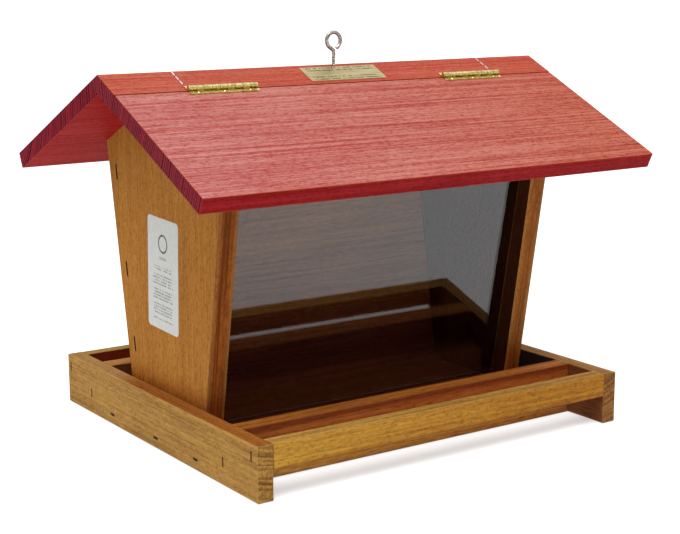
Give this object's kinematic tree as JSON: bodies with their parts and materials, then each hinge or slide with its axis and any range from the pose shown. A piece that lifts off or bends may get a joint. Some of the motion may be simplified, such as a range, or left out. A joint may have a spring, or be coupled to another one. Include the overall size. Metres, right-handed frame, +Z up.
{
  "type": "bird feeder",
  "caption": "Hanging wooden hopper bird feeder: gabled red roof with a hinged lid, clear front pane over a feed gap, open tray with perch rails, and a screw eye at the ridge.",
  "frame": {"origin": "centre of the underside of the tray, midway along and across the feeder", "axes": "+X along the ridge to the feeder's right, +Y to the closed back, +Z up"},
  "size_m": [0.4106, 0.3086, 0.3123],
  "materials": {
    "tray_wood": "stained cedar, satin",
    "hopper_wood": "stained cedar, satin",
    "red_roof_wood": "red stained cedar, satin",
    "clear_acrylic": "clear acrylic sheet, polished",
    "hinge_brass": "bright brass",
    "staple_steel": "galvanised wire",
    "eye_steel": "darkened steel wire",
    "plate_foil": "thin gold coloured foil plate, blank",
    "label_paper": null
  },
  "bodies": {
    "feeder": {"left_side_board": "tray_wood", "right_side_board": "tray_wood", "front_perch_rail": "tray_wood", "rear_perch_rail": "tray_wood", "front_inner_rail": "tray_wood", "rear_inner_rail": "tray_wood", "floor_board": "tray_wood", "left_end_wall": "hopper_wood", "right_end_wall": "hopper_wood", "back_board": "hopper_wood", "rear_roof_panel": "red_roof_wood", "ridge_strip": "red_roof_wood", "front_pane": "clear_acrylic", "left_hinge_strip_leaf": "hinge_brass", "left_hinge_pin": "hinge_brass", "right_hinge_strip_leaf": "hinge_brass", "right_hinge_pin": "hinge_brass", "hinge_strip_nails": "hinge_brass", "left_board_staples": "staple_steel", "right_board_staples": "staple_steel", "left_wall_staples": "staple_steel", "right_wall_staples": "staple_steel", "ridge_staples": "staple_steel", "rear_panel_staples": "staple_steel", "floor_staples": "staple_steel", "screw_eye": "eye_steel", "ridge_plate": "plate_foil", "wall_label": "label_paper"},
    "lid": {"roof_lid": "red_roof_wood", "left_hinge_lid_leaf": "hinge_brass", "right_hinge_lid_leaf": "hinge_brass", "hinge_lid_nails": "hinge_brass"}
  },
  "joints": [
    {"name": "lid_hinge", "type": "hinge", "parent": "feeder", "child": "lid", "pos_m": [0, -0.02803, 0.2751], "axis": [-1, 0, 0], "range_deg": [0, 150]}
  ]
}
